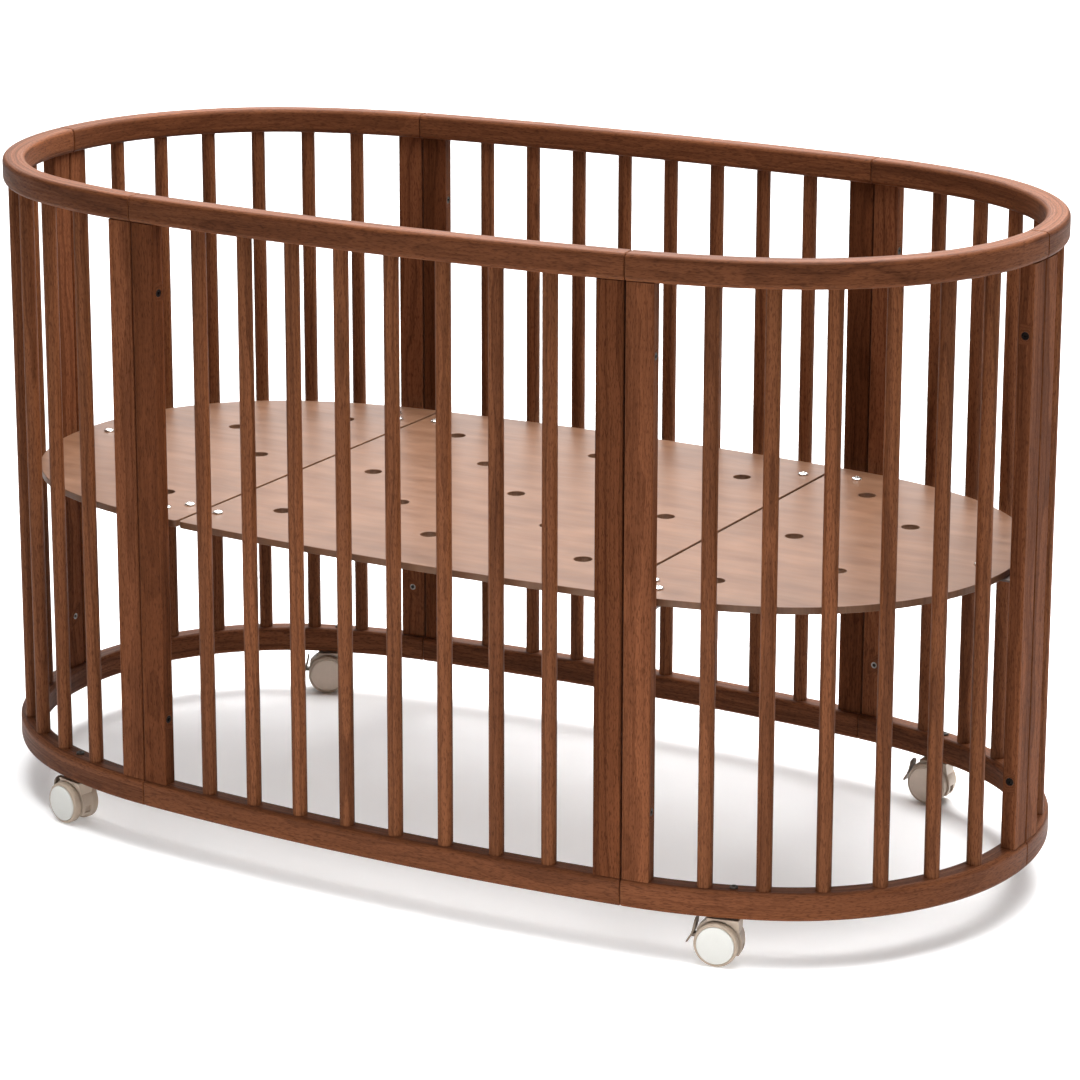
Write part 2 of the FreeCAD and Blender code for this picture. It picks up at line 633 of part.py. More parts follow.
def build_side(name, place):
    """A side panel: two rails, two posts and a row of spindles, moved by place to front or back."""
    arcs = side_arcs()
    spindles = spindle_row(arcs, SIDE_SPINDLES)
    right_post = at_side_seam(post(-1, CONNECTOR_SHANK_RADIUS, False))
    posts = [right_post, flip_x(right_post)]
    save("spindles_" + name, [place(solid) for solid in spindles])
    save("posts_" + name, [place(solid) for solid in posts])
    for rail_name, low, height in (("bottom_rail_", BOTTOM_RAIL_Z, BOTTOM_RAIL_HEIGHT),
                                   ("top_rail_", TOP_RAIL_Z, TOP_RAIL_HEIGHT)):
        solid = rail(arcs, low, height).cut(spindles + posts).Solids[0]
        save(rail_name + name, [place(solid)])


def build_quarter(name, place, end_fastener_radius, end_inserts):
    """A quarter panel, drawn at the front right and moved by place to its own corner."""
    arcs = quarter_arcs()
    spindles = spindle_row(arcs, QUARTER_SPINDLES)
    end_post = post(-1, end_fastener_radius, end_inserts)
    posts = [at_side_seam(post(1, SLEEVE_RADIUS, True)), at_end_seam(end_post)]
    stem = caster_stem()
    screw = caster_screw()
    for fitting in (stem, screw):
        fitting.translate(caster_foot())
    save("spindles_" + name, [place(solid) for solid in spindles])
    save("posts_" + name, [place(solid) for solid in posts])
    for rail_name, low, height in (("bottom_rail_", BOTTOM_RAIL_Z, BOTTOM_RAIL_HEIGHT),
                                   ("top_rail_", TOP_RAIL_Z, TOP_RAIL_HEIGHT)):
        solid = rail(arcs, low, height).cut(spindles + posts + [stem, screw]).Solids[0]
        save(rail_name + name, [place(solid)])


def build_fasteners():
    """Panel bolts, sleeve nuts and threaded inserts at all six seams."""
    makers = {"panel_bolts": connector_bolt, "sleeve_nuts": sleeve_nut}
    for name, make in makers.items():
        solids = []
        for height in CONNECTOR_HEIGHTS:
            at_end = at_end_seam(make(height))
            solids += four_corners(at_side_seam(make(height))) + [at_end, half_turn(at_end)]
        save(name, solids)
    inserts = []
    for height in INSERT_HEIGHTS:
        at_end = at_end_seam(threaded_insert(1, height))
        inserts += four_corners(at_side_seam(threaded_insert(1, height))) + [at_end, half_turn(at_end)]
    save("threaded_inserts", inserts)


def build_base():
    """The mattress base: three boards, six brackets and their bolts."""
    for name, board in zip(("left", "middle", "right"), boards()):
        save("base_board_" + name, [board])
    save("corner_brackets", four_corners(corner_bracket()))
    save("end_brackets", [end_bracket(), half_turn(end_bracket())])
    reach = BOARD_THICKNESS + BRACKET_THICKNESS + BOARD_BOLT_REACH
    seats = [Vector(x, y, BASE_TOP_Z) for x, y in board_bolt_positions()]
    save("board_bolts", [button_bolt(seat, -UP, reach) for seat in seats])
    at_end = at_end_seam(bracket_bolt())
    save("bracket_bolts", four_corners(at_side_seam(bracket_bolt())) + [at_end, half_turn(at_end)])


def build_casters():
    """Four casters, each with its own swivelling hood, axle, two wheels, tyres and brake."""
    wheels = {1: caster_wheel(), -1: flip_y(caster_wheel())}
    for place, outer_side in OUTER_WHEEL_SIDES.items():
        pieces = {
            "hood": [caster_hood()],
            "axle": [across_axle(AXLE_RADIUS, AXLE_HALF_LENGTH)],
            "outer_wheel": [wheels[outer_side]],
            "inner_wheel": [wheels[-outer_side]],
            "tyres": [caster_tyre(), flip_y(caster_tyre())],
            "brake": [caster_brake()],
        }
        for piece, solids in pieces.items():
            save("caster_" + place + "_" + piece, [at_caster(solid, place) for solid in solids])
    save("caster_stems", [at_caster(caster_stem(), place) for place in CASTER_HEADINGS])
    save("caster_screws", [at_caster(caster_screw(), place) for place in CASTER_HEADINGS])


def stay(shape):
    return shape


os.makedirs("parts", exist_ok=True)
build_side("front", stay)
build_side("back", flip_y)
build_quarter("front_right", stay, CONNECTOR_SHANK_RADIUS, False)
build_quarter("front_left", flip_x, SLEEVE_RADIUS, True)
build_quarter("back_right", flip_y, SLEEVE_RADIUS, True)
build_quarter("back_left", half_turn, CONNECTOR_SHANK_RADIUS, False)
build_fasteners()
build_base()
build_casters()
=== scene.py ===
import json
import math
import random

import bmesh
import bpy
import numpy as np
from mathutils import Matrix, Quaternion, Vector


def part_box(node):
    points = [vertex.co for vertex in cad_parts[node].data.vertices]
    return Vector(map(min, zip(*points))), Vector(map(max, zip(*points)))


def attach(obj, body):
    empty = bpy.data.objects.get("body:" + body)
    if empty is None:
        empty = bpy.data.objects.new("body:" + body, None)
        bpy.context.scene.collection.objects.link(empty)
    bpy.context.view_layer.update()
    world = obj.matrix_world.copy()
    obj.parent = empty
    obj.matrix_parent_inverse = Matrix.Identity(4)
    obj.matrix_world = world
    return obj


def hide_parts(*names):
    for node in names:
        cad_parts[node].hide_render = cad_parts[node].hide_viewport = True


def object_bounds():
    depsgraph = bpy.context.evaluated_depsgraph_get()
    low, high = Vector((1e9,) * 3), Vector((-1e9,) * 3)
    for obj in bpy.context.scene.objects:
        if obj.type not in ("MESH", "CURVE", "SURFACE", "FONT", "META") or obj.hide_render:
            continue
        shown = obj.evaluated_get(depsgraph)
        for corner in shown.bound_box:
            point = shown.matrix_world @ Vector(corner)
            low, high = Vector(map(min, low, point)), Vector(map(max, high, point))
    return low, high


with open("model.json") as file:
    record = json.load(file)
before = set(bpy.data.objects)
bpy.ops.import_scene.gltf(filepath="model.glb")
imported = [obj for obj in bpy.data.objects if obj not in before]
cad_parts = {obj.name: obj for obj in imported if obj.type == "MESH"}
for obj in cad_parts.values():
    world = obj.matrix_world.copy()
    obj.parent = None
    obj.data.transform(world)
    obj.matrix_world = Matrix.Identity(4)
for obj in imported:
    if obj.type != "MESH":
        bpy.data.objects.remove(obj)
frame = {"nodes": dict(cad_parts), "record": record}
cad_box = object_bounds()

# ---------------------------------------------------------------- sizes, in metres
# The plan curve of the rails is the one that the frame was designed on: one shallow arc for each
# side, and a shoulder, a corner and an end arc for each quarter.
SHOULDER_RADIUS = 0.570
SHOULDER_TURN = 0.29
END_RADIUS = 0.360
SIDE_SEAM = Vector((0.330, -0.3416, 0))
SEAM_HALF_GAP = 0.00025
RAIL_THICKNESS = 0.0285
RAIL_EDGE = 0.006
RAIL_END_EASE = 0.0022
RAIL_STEP = 0.012
SPINDLE_RADIUS = 0.009
SPINDLE_SIDES = 36
SPINDLE_PITCH = 0.0672
UPRIGHT_STEPS = {"post": 30, "spindle": 24}
POST_WIDTH = 0.0335
POST_DEPTH = 0.018
POST_SETBACK = 0.0025
POST_TO_SEAM = 0.0010
POST_EDGE = 0.0020
COUNTERBORE_RADIUS = 0.005
COUNTERBORE_DEPTH = 0.0032
INSERT_RADIUS = 0.004
INSERT_DEPTH = 0.0096
VENT_RADIUS = 0.011
VENT_STEP = 0.104
END_VENT_X = 0.380
CONNECTOR_HEIGHTS = (0.173, 0.702)
INSERT_HEIGHTS = (0.1595, 0.397)
BOARD_INSET = 0.035
BOARD_CORNER_RADIUS = 0.006
BOARD_EASE = 0.0008
OUTLINE_STEP = 0.006
SQUARE_TURN = math.radians(45)
BUTTON_RADIUS = 0.0065
CORNER_BOARD_BOLTS = ((0.338, -0.269), (0.320, -0.243), (0.270, -0.256))
END_BOARD_BOLT_X = 0.617
CASTER_HEADINGS = {"front_left": 166, "front_right": 192, "back_left": 210, "back_right": 177}
CASTER_TRAIL = 0.016
TYRE_RADIUS = 0.026
DISC_RADIUS = 0.0222
DISC_FACE_Y = 0.0208
TYRE_FACE_Y = 0.0196
TYRE_SHOULDER = 0.0030
TYRE_INNER_EASE = 0.0012
TYRE_CLEARANCE = 0.0002
WHEEL_INNER_Y = 0.0088
DISC_RIM_EASE = 0.0010

half_length = cad_box[1].x
half_width = cad_box[1].y
rail_levels = {
    "bottom": (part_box("bottom_rail_front")[0].z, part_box("bottom_rail_front")[1].z),
    "top": (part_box("top_rail_front")[0].z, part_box("top_rail_front")[1].z),
}
post_low = rail_levels["bottom"][1]
post_high = rail_levels["top"][0]
side_rise = half_width + SIDE_SEAM.y
side_radius = (side_rise ** 2 + SIDE_SEAM.x ** 2) / (2 * side_rise)
seam_heading = math.asin(SIDE_SEAM.x / side_radius)
post_middle = POST_TO_SEAM + POST_WIDTH / 2
board_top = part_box("base_board_middle")[1].z


# ---------------------------------------------------------------- plan curve

def outward(heading):
    """Unit vector out of the rail where the plan curve runs at this heading from +X."""
    return Vector((math.sin(heading), -math.cos(heading), 0))


def side_arcs():
    """The front side as (centre, radius, start heading, end heading)."""
    return [(Vector((0, side_radius - half_width, 0)), side_radius, -seam_heading, seam_heading)]


def quarter_arcs():
    """The front right quarter: shoulder, corner and end arc, each tangent to the next."""
    shoulder_heading = seam_heading + SHOULDER_TURN
    shoulder_centre = SIDE_SEAM - outward(seam_heading) * SHOULDER_RADIUS
    shoulder_end = shoulder_centre + outward(shoulder_heading) * SHOULDER_RADIUS
    end_centre = Vector((half_length - END_RADIUS, 0, 0))
    across = shoulder_end - end_centre
    reach = END_RADIUS - across.dot(outward(shoulder_heading))
    corner_radius = (END_RADIUS ** 2 - across.dot(across)) / (2 * reach)
    corner_centre = shoulder_end - outward(shoulder_heading) * corner_radius
    toward_corner = corner_centre - end_centre
    corner_heading = math.atan2(toward_corner.x, -toward_corner.y)
    return [
        (shoulder_centre, SHOULDER_RADIUS, seam_heading, shoulder_heading),
        (corner_centre, corner_radius, shoulder_heading, corner_heading),
        (end_centre, END_RADIUS, corner_heading, math.pi / 2),
    ]


def curve_length(arcs, inset=0.0):
    """Length of a line that runs this far inside the plan curve."""
    return sum((radius - inset) * (end - start) for _, radius, start, end in arcs)


def curve_at(arcs, distance, inset=0.0):
    """(centre, radius, heading) of the plan curve this far along its inset line."""
    for centre, radius, start, end in arcs:
        length = (radius - inset) * (end - start)
        if distance <= length:
            return centre, radius, start + distance / (radius - inset)
        distance -= length
    centre, radius, _, end = arcs[-1]
    return centre, radius, end


# The mirror images of a piece drawn at the front right, as multipliers of x and y.
CORNERS = {"front_right": (1, 1), "front_left": (-1, 1), "back_right": (1, -1), "back_left": (-1, -1)}
SIDES = {"front": (1, 1), "back": (1, -1)}


# ---------------------------------------------------------------- mesh helpers

def new_object(name, mesh):
    obj = bpy.data.objects.new(name, mesh)
    bpy.context.scene.collection.objects.link(obj)
    return obj


def loft(name, rings, grain_rings=None, mirror=(1, 1), caps=True):
    """A closed skin over rings of points, with the wood grain's own coordinates stored on it."""
    count = len(rings[0])
    points = np.array(rings, dtype=float).reshape(-1, 3)
    points[:, 0] *= mirror[0]
    points[:, 1] *= mirror[1]
    faces = []
    for row in range(len(rings) - 1):
        low, high = row * count, (row + 1) * count
        for k in range(count):
            after = (k + 1) % count
            faces.append((low + k, low + after, high + after, high + k))
    if caps:
        faces.append(tuple(reversed(range(count))))
        faces.append(tuple(range((len(rings) - 1) * count, len(rings) * count)))
    mesh = bpy.data.meshes.new(name)
    mesh.from_pydata([tuple(p) for p in points], [], faces)
    if grain_rings is not None:
        grain = mesh.attributes.new("grain", "FLOAT_VECTOR", "POINT")
        grain.data.foreach_set("vector", np.array(grain_rings, dtype=np.float32).ravel())
    face_out(mesh)
    return mesh


def face_out(mesh, weld=None):
    """Turns every face of a closed mesh outward, after joining points within the weld distance."""
    bm = bmesh.new()
    bm.from_mesh(mesh)
    if weld is not None:
        bmesh.ops.remove_doubles(bm, verts=bm.verts, dist=weld)
    bmesh.ops.recalc_face_normals(bm, faces=bm.faces)
    bm.to_mesh(mesh)
    bm.free()


def shade(obj, sharp_degrees=38.0):
    """Smooth shading that keeps flats flat and edges above this angle crisp."""
    mesh = obj.data
    mesh.polygons.foreach_set("use_smooth", [True] * len(mesh.polygons))
    mesh.set_sharp_from_angle(angle=math.radians(sharp_degrees))
    weighted = obj.modifiers.new("flat_normals", "WEIGHTED_NORMAL")
    weighted.keep_sharp = True
    weighted.weight = 90


def rounded_ring(width, height, edge, inset=0.0, steps=5):
    """Points round a rectangle with rounded corners, centred on the origin."""
    half_w, half_h = width / 2 - inset, height / 2 - inset
    radius = max(edge - inset, 0.0006)
    points = []
    for corner, (sx, sy) in enumerate(((1, 1), (-1, 1), (-1, -1), (1, -1))):
        for step in range(steps + 1):
            angle = math.radians(90 * (corner + step / steps))
            points.append((sx * (half_w - radius) + radius * math.cos(angle),
                           sy * (half_h - radius) + radius * math.sin(angle)))
    return points


def eased_stations(start, end, ease, step):
    """(place, inset) pairs from start to end, with rounded-over ends of this size."""
    angles = [k * math.pi / 8 for k in range(5)]
    turn = [(ease * (1 - math.cos(a)), ease * (1 - math.sin(a))) for a in angles]
    count = max(2, round((end - start - 2 * ease) / step))
    inner = [(start + ease + (end - start - 2 * ease) * k / count, 0.0) for k in range(1, count)]
    return [(start + d, i) for d, i in turn] + inner + [(end - d, i) for d, i in reversed(turn)]


def place_piece(obj, body, slot, nodes):
    """Ties a piece to its body and hides the CAD nodes that it stands for. The slot argument is not used."""
    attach(obj, body)
    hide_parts(*nodes)


# ---------------------------------------------------------------- wood pieces

def make_rail(arcs, level, place, mirror, seed):
    """One bent rail with eased ends, its grain running along the bend."""
    name = f"{level}_rail_{place}"
    low, high = rail_levels[level]
    grain_at = grain_from(seed)
    rings, grain = [], []
    length = curve_length(arcs)
    for distance, inset in eased_stations(SEAM_HALF_GAP, length - SEAM_HALF_GAP, RAIL_END_EASE, RAIL_STEP):
        centre, radius, heading = curve_at(arcs, distance)
        ring, grain_ring = [], []
        for depth, height in rounded_ring(RAIL_THICKNESS, high - low, RAIL_EDGE, inset):
            point = centre + outward(heading) * (radius - RAIL_THICKNESS / 2 + depth)
            ring.append((point.x, point.y, (low + high) / 2 + height))
            grain_ring.append(grain_at(distance, depth, height))
        rings.append(ring)
        grain.append(grain_ring)
    obj = new_object("fine_" + name, loft("fine_" + name, rings, grain, mirror))
    shade(obj)
    obj.data.materials.append(rail_wood)
    place_piece(obj, "crib_frame", "walnut_beech", [name])


def grain_from(seed):
    """A function from a piece's own (along, across, deep) to a place in the tree it was sawn from.
    Each piece has its own distance from the tree's middle and its own slope to the tree's axis."""
    pick = random.Random(seed)
    start = pick.uniform(0, 400)
    across_start = pick.choice((-1, 1)) * pick.uniform(0.016, 0.07)
    deep_start = pick.uniform(-0.03, 0.03)
    slope = pick.uniform(-0.022, 0.022)

    def grain_at(along, across, deep):
        return start + along, across_start + across + slope * along, deep_start + deep

    return grain_at


def seam_frame(point, heading):
    """Matrix from a seam's frame (X along the rail, Y inward, Z up) to the crib's."""
    matrix = Matrix.Rotation(heading, 4, "Z")
    matrix.translation = point
    return matrix


def cut_holes(obj, holes):
    """Cuts round holes: (mouth, direction into the wood, radius, depth) in the object's frame."""
    cutter = bmesh.new()
    for mouth, direction, radius, depth in holes:
        turn = direction.to_track_quat("Z", "Y").to_matrix().to_4x4()
        shift = Matrix.Translation(mouth + direction * (depth / 2 - radius))
        bmesh.ops.create_cone(cutter, cap_ends=True, segments=40, radius1=radius, radius2=radius,
                              depth=depth + 2 * radius, matrix=shift @ turn)
    mesh = bpy.data.meshes.new("cutter")
    cutter.to_mesh(mesh)
    cutter.free()
    tool = new_object("cutter", mesh)
    cut = obj.modifiers.new("holes", "BOOLEAN")
    cut.object = tool
    cut.solver = "EXACT"
    bpy.context.view_layer.update()
    finished = bpy.data.meshes.new_from_object(obj.evaluated_get(bpy.context.evaluated_depsgraph_get()))
    obj.modifiers.clear()
    obj.data = finished
    bpy.data.objects.remove(tool)
    bpy.data.meshes.remove(mesh)


def upright_levels(kind):
    """Heights of a post's or spindle's stations, from the bottom rail to the top one."""
    steps = UPRIGHT_STEPS[kind]
    return [post_low + (post_high - post_low) * k / steps for k in range(steps + 1)]


def make_post(name, node, matrix, side, mirror, insert_heights, seed):
    """A flat post in a seam's frame, on its -X or +X side, with its bolt and insert holes."""
    grain_at = grain_from(seed)
    middle = Vector((side * post_middle, POST_SETBACK + POST_DEPTH / 2, 0))
    rings, grain = [], []
    for z in upright_levels("post"):
        ring = rounded_ring(POST_WIDTH, POST_DEPTH, POST_EDGE, 0.0, 4)
        rings.append([(middle.x + u, middle.y + v, z) for u, v in ring])
        grain.append([grain_at(z, v, u) for u, v in ring])
    obj = new_object(name, loft(name, rings, grain))
    holes = []
    for height in CONNECTOR_HEIGHTS:
        mouth = Vector((side * (POST_TO_SEAM + POST_WIDTH), middle.y, height))
        holes.append((mouth, Vector((-side, 0, 0)), COUNTERBORE_RADIUS, COUNTERBORE_DEPTH))
    for height in insert_heights:
        mouth = Vector((middle.x, POST_SETBACK + POST_DEPTH, height))
        holes.append((mouth, Vector((0, -1, 0)), INSERT_RADIUS, INSERT_DEPTH))
    cut_holes(obj, holes)
    obj.data.transform(matrix)
    obj.data.transform(Matrix.Diagonal((mirror[0], mirror[1], 1, 1)))
    face_out(obj.data)
    shade(obj)
    obj.data.materials.clear()
    # the side panels' posts get a darker copy of the post wood: painted shade on posts that catch less light
    obj.data.materials.append(shaded_side_post_wood if node in ("posts_front", "posts_back") else post_wood)
    place_piece(obj, "crib_frame", "walnut_beech", [node])


def make_spindle(name, node, foot, seed):
    """A round spindle. Its grain stands at its own angle, as turned stock does."""
    grain_at = grain_from(seed)
    spin = random.Random(seed + 1).uniform(0, 2 * math.pi)
    rings, grain = [], []
    for z in upright_levels("spindle"):
        ring, grain_ring = [], []
        for s in range(SPINDLE_SIDES):
            angle = 2 * math.pi * s / SPINDLE_SIDES
            u, v = SPINDLE_RADIUS * math.cos(angle), SPINDLE_RADIUS * math.sin(angle)
            ring.append((foot.x + u, foot.y + v, z))
            across = u * math.cos(spin) - v * math.sin(spin)
            deep = u * math.sin(spin) + v * math.cos(spin)
            grain_ring.append(grain_at(z, across, deep))
        rings.append(ring)
        grain.append(grain_ring)
    obj = new_object(name, loft(name, rings, grain))
    shade(obj, 60)
    obj.data.materials.append(spindle_wood)
    place_piece(obj, "crib_frame", "walnut_beech", [node])


def make_panel(place, arcs, mirror, spindle_count, seed):
    """One panel's two rails and the row of spindles between them."""
    for index, level in enumerate(("bottom", "top")):
        make_rail(arcs, level, place, mirror, seed + index)
    middle = RAIL_THICKNESS / 2
    start = (curve_length(arcs, middle) - (spindle_count - 1) * SPINDLE_PITCH) / 2
    for k in range(spindle_count):
        centre, radius, heading = curve_at(arcs, start + k * SPINDLE_PITCH, middle)
        foot = centre + outward(heading) * (radius - middle)
        foot = Vector((foot.x * mirror[0], foot.y * mirror[1], 0))
        make_spindle(f"spindle_{place}_{k + 1}", "spindles_" + place, foot, seed + 10 + 2 * k)


def make_panels():
    """The six panels with their posts. A post is drawn at the front right and mirrored to its place."""
    side_seam = seam_frame(SIDE_SEAM, seam_heading)
    end_seam = seam_frame(Vector((half_length, 0, 0)), math.pi / 2)
    for index, (place, mirror) in enumerate(SIDES.items()):
        make_panel(place, side_arcs(), mirror, 8, 100 + 50 * index)
        for k, flip in enumerate((1, -1)):
            seed = 140 + 50 * index + k
            make_post(f"post_{place}_{k + 1}", "posts_" + place, side_seam, -1, (flip, mirror[1]), (), seed)
    for index, (place, mirror) in enumerate(CORNERS.items()):
        node_name, seed = "posts_" + place, 340 + 50 * index
        make_panel(place, quarter_arcs(), mirror, 6, 300 + 50 * index)
        end_inserts = INSERT_HEIGHTS if mirror[0] * mirror[1] < 0 else ()
        make_post(f"post_{place}_side", node_name, side_seam, 1, mirror, INSERT_HEIGHTS, seed)
        make_post(f"post_{place}_end", node_name, end_seam, -1, mirror, end_inserts, seed + 1)


# ---------------------------------------------------------------- mattress base

def board_outline(low_x, high_x):
    """Points round one board, anticlockwise: the base's outline cut at two seams."""
    front = []
    for centre, rail_radius, start, end in side_arcs() + quarter_arcs():
        radius = rail_radius - BOARD_INSET
        steps = max(4, round(radius * (end - start) / OUTLINE_STEP))
        front += [centre + outward(start + (end - start) * k / steps) * radius for k in range(steps)]
    front.append(Vector((half_length - BOARD_INSET, 0, 0)))
    right = [p for p in front if p.x > 0]
    loop = right + [Vector((p.x, -p.y, 0)) for p in reversed(right[:-1])]
    left = [Vector((-p.x, -p.y, 0)) for p in loop]
    whole = loop + left
    return clip(clip(whole, low_x, 1), high_x, -1)


def clip(loop, edge_x, keep):
    """Cuts a convex outline at x = edge_x, keeping the side where keep * x is larger."""
    kept = []
    for here, after in zip(loop, loop[1:] + loop[:1]):
        inside = keep * here.x >= keep * edge_x
        next_inside = keep * after.x >= keep * edge_x
        if inside:
            kept.append(here)
        if inside != next_inside:
            kept.append(here.lerp(after, (edge_x - here.x) / (after.x - here.x)))
    return kept


def round_corners(loop, radius):
    """Rounds the outline's square corners."""
    result = []
    corners = [here for before, here, after in neighbours(loop) if is_square(before, here, after)]
    for before, here, after in neighbours(loop):
        if not is_square(before, here, after):
            if all((here - corner).length > radius for corner in corners):
                result.append(here)
            continue
        first = here + (before - here).normalized() * radius
        last = here + (after - here).normalized() * radius
        result += [first.lerp(here, t).lerp(here.lerp(last, t), t) for t in (0, 0.25, 0.5, 0.75, 1)]
    return result


def neighbours(loop):
    """Each point of a closed loop with the points before and after it."""
    return list(zip(loop[-1:] + loop[:-1], loop, loop[1:] + loop[:1]))


def is_square(before, here, after):
    return (here - before).angle(after - here, 0) >= SQUARE_TURN


def circle_points(x, y, radius, count=40):
    angles = [2 * math.pi * k / count for k in range(count)]
    return [Vector((x + radius * math.cos(a), y + radius * math.sin(a), 0)) for a in angles]


def vents(low_x, high_x):
    """Vent holes of the board between these x, in rows that step along and across the base."""
    middle = [(x * VENT_STEP, y * VENT_STEP) for x in (-2, 0, 2) for y in (-2, 0, 2)]
    middle += [(x * VENT_STEP, y * VENT_STEP) for x in (-1, 1) for y in (-1, 1)]
    ends = [(END_VENT_X, y * VENT_STEP) for y in (-2, 0, 2)]
    ends += [(END_VENT_X + VENT_STEP, y * VENT_STEP) for y in (-1, 1)]
    return [(x, y) for x, y in middle + ends + [(-x, y) for x, y in ends] if low_x < x < high_x]


def make_board(place, seed):
    """One plywood board with eased edges and vent holes, plies showing on every cut edge."""
    node = "base_board_" + place
    low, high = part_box(node)
    outline = round_corners(board_outline(low.x, high.x), BOARD_CORNER_RADIUS)
    curve = bpy.data.curves.new(node, "CURVE")
    curve.dimensions = "2D"
    curve.fill_mode = "BOTH"
    curve.extrude = (high.z - low.z) / 2 - BOARD_EASE
    curve.bevel_depth = BOARD_EASE
    curve.bevel_resolution = 2
    curve.offset = -BOARD_EASE
    loops = [outline] + [circle_points(x, y, VENT_RADIUS) for x, y in vents(low.x, high.x)]
    for loop in loops:
        spline = curve.splines.new("POLY")
        spline.points.add(len(loop) - 1)
        spline.use_cyclic_u = True
        for point, corner in zip(spline.points, loop):
            point.co = (corner.x, corner.y, 0, 1)
    sketch = new_object("sketch", curve)
    bpy.context.view_layer.update()
    mesh = bpy.data.meshes.new_from_object(sketch.evaluated_get(bpy.context.evaluated_depsgraph_get()))
    bpy.data.objects.remove(sketch)
    bpy.data.curves.remove(curve)
    mesh.transform(Matrix.Translation((0, 0, (low.z + high.z) / 2)))
    face_out(mesh, weld=1e-6)
    for polygon in mesh.polygons:
        polygon.material_index = 0 if abs(polygon.normal.z) > 0.75 else 1
    grain_at = grain_from(seed)
    grain = mesh.attributes.new("grain", "FLOAT_VECTOR", "POINT")
    for vertex, value in zip(mesh.vertices, grain.data):
        value.vector = grain_at(vertex.co.x, vertex.co.y, vertex.co.z)
    obj = new_object("fine_" + node, mesh)
    mesh.materials.clear()
    mesh.materials.append(board_face)
    mesh.materials.append(board_edge)
    shade(obj)
    place_piece(obj, "mattress_base", "stained_plywood", [node])


# ---------------------------------------------------------------- turned metal and plastic

def lathe(name, profile, axis_point, axis, segments=64, hexagon=None, closed=False):
    """A mesh turned from (radius, height) points about an axis. From profile point number hexagon
    on, the section is a hexagonal key socket instead of a circle. A closed profile makes a ring."""
    turn = axis.to_track_quat("Z", "Y")
    rings = []
    for index, (radius, height) in enumerate(profile + profile[:1] if closed else profile):
        ring = []
        for s in range(segments):
            angle = 2 * math.pi * s / segments
            reach = radius
            if hexagon is not None and index >= hexagon:
                reach = radius * math.cos(math.pi / 6) / math.cos(angle % (math.pi / 3) - math.pi / 6)
            point = Vector((reach * math.cos(angle), reach * math.sin(angle), height))
            ring.append(tuple(axis_point + turn @ point))
        rings.append(ring)
    mesh = loft(name, rings, caps=not closed)
    if closed:
        face_out(mesh, weld=1e-7)
    return mesh


def button_profile(radius, height):
    """A button head from its rim up over the dome and down into the key socket."""
    points = [(radius * 0.97, 0.0), (radius, height * 0.12), (radius, height * 0.25)]
    for k in range(1, 7):
        angle = math.radians(15 * k)
        points.append((radius * (0.42 + 0.58 * math.cos(angle)), height * (0.25 + 0.75 * math.sin(angle))))
    socket = radius * 0.40
    points += [(socket * 1.06, height * 0.985), (socket, height * 0.93), (socket * 0.98, height * 0.35),
               (socket * 0.5, height * 0.28), (socket * 0.05, height * 0.26)]
    return points


def make_board_bolts():
    """Fourteen button-head bolts on the boards, each with its key socket turned its own way."""
    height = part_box("board_bolts")[1].z - board_top
    positions = right_bolts() + [(-x, y) for x, y in right_bolts()]
    for k, (x, y) in enumerate(positions):
        profile = button_profile(BUTTON_RADIUS, height)
        name = f"board_bolt_{k + 1}"
        mesh = lathe(name, profile, Vector((0, 0, 0)), Vector((0, 0, 1)), 48, hexagon=len(profile) - 5)
        mesh.transform(Matrix.Translation((x, y, board_top)) @ Matrix.Rotation(k * 0.7, 4, "Z"))
        obj = new_object(name, mesh)
        obj.data.materials.append(nickel)
        shade(obj, 30)
        place_piece(obj, "mattress_base", "bright_nickel", ["board_bolts"])


def right_bolts():
    """Bolt places on the right half of the base."""
    front = list(CORNER_BOARD_BOLTS)
    return front + [(x, -y) for x, y in front] + [(END_BOARD_BOLT_X, 0.0)]


# ---------------------------------------------------------------- casters

def caster_matrix(place):
    """From a caster's own frame (stem at the origin, wheels trailing along +X) to the crib's."""
    low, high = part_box(f"caster_{place}_axle")
    matrix = Matrix.Rotation(math.radians(CASTER_HEADINGS[place]), 4, "Z")
    axle = (low + high) / 2
    matrix.translation = Vector((axle.x, axle.y, 0)) - matrix.to_3x3() @ Vector((CASTER_TRAIL, 0, 0))
    return matrix


def arc_profile(centre, radius, start, end, steps=5):
    """Points of an arc in a (radius, height) profile, by angles in degrees."""
    angles = [math.radians(start + (end - start) * k / steps) for k in range(steps + 1)]
    return [(centre[0] + radius * math.cos(a), centre[1] + radius * math.sin(a)) for a in angles]


def tyre_profile():
    """A tyre's section from the disc out over the tread, as (radius, distance along the axle)."""
    ease, shoulder, seat = TYRE_INNER_EASE, TYRE_SHOULDER, DISC_RADIUS + TYRE_CLEARANCE
    ease_centre = (TYRE_RADIUS - ease, WHEEL_INNER_Y + ease)
    shoulder_centre = (TYRE_RADIUS - shoulder, TYRE_FACE_Y - shoulder)
    profile = [(seat, WHEEL_INNER_Y), (TYRE_RADIUS - ease, WHEEL_INNER_Y)]
    profile += arc_profile(ease_centre, ease, -90, 0)[1:]
    profile += arc_profile(shoulder_centre, shoulder, 0, 78)
    profile += [(seat + 0.0006, TYRE_FACE_Y + 0.0001), (seat, TYRE_FACE_Y - 0.0004)]
    return profile


